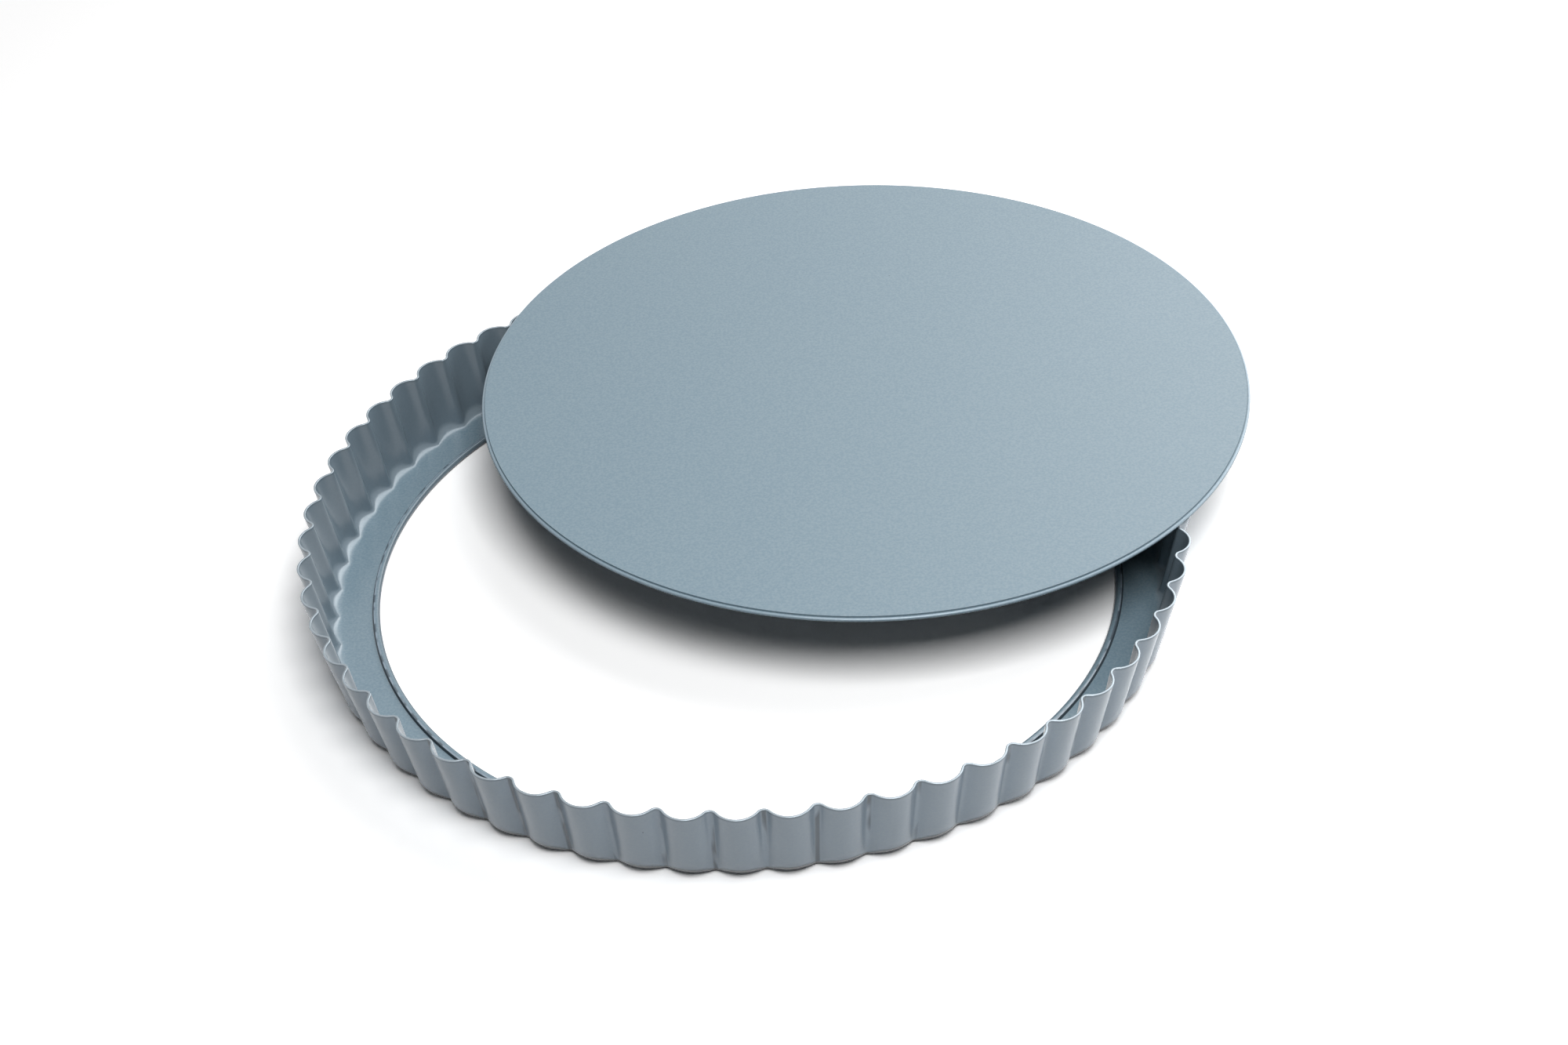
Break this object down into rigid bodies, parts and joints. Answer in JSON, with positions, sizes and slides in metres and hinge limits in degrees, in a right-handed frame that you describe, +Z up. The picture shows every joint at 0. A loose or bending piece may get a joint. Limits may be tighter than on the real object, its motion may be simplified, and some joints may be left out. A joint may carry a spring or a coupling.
{
  "type": "loose-bottom quiche pan",
  "caption": "Round fluted quiche pan of coated steel: a ring with a slanting fluted wall and an inward flange, and a loose flat base that lies across the rim and lifts off.",
  "frame": {"origin": "on the floor, under the middle of the box around the ring and the base that lies across it", "axes": "+Z up out of the ring, +X to the right and +Y away from the viewer in the picture"},
  "size_m": [0.312, 0.3364, 0.0298],
  "materials": {
    "ring_coating": "satin blue-grey non-stick coating",
    "base_coating": "satin blue-grey non-stick coating"
  },
  "bodies": {
    "ring": {"fluted_ring": "ring_coating"},
    "base": {"loose_base": "base_coating"}
  },
  "joints": [
    {"name": "base_lift", "type": "slide", "parent": "ring", "child": "base", "axis": [0, 0, 1], "range_m": [0, 0.12]}
  ]
}
